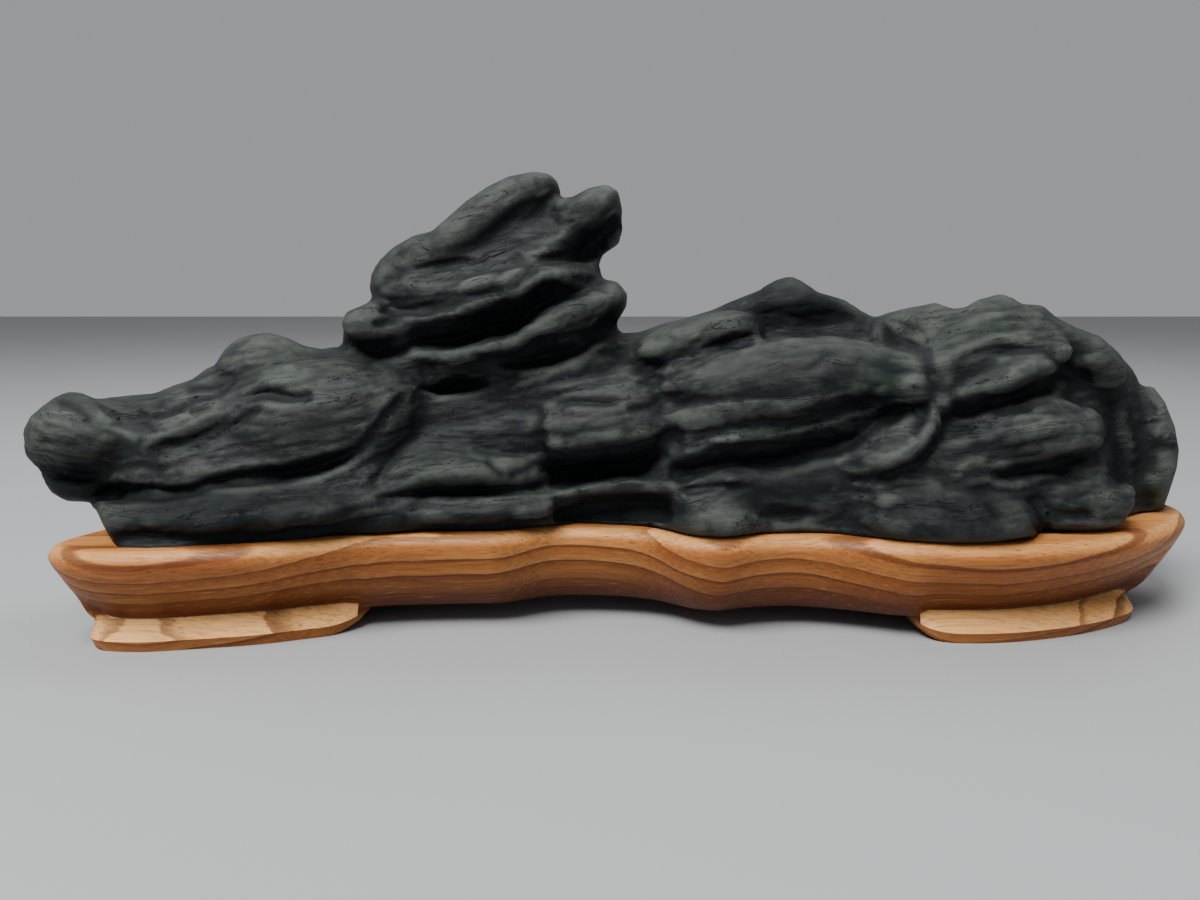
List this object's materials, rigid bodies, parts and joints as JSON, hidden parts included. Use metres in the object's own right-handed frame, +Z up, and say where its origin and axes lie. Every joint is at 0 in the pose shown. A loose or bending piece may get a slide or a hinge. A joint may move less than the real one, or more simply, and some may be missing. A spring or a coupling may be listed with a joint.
{
  "type": "scholars rock on a wooden stand",
  "caption": "Dark layered mountain-range viewing stone with an overhanging head, lying in the fitted recess of a low carved wooden stand on flared feet.",
  "frame": {"origin": "on the table, under the middle of the object's box", "axes": "+Z up, +X along the stone from its nose to its rounded end, -Y out of the front that is looked at"},
  "size_m": [0.4012, 0.1065, 0.1473],
  "materials": {
    "stone": "hand-rubbed satin, green-black",
    "wood": "oiled satin, orange-brown with dark growth rings"
  },
  "bodies": {
    "root": {"stone": "stone", "stand": "wood"}
  },
  "joints": []
}
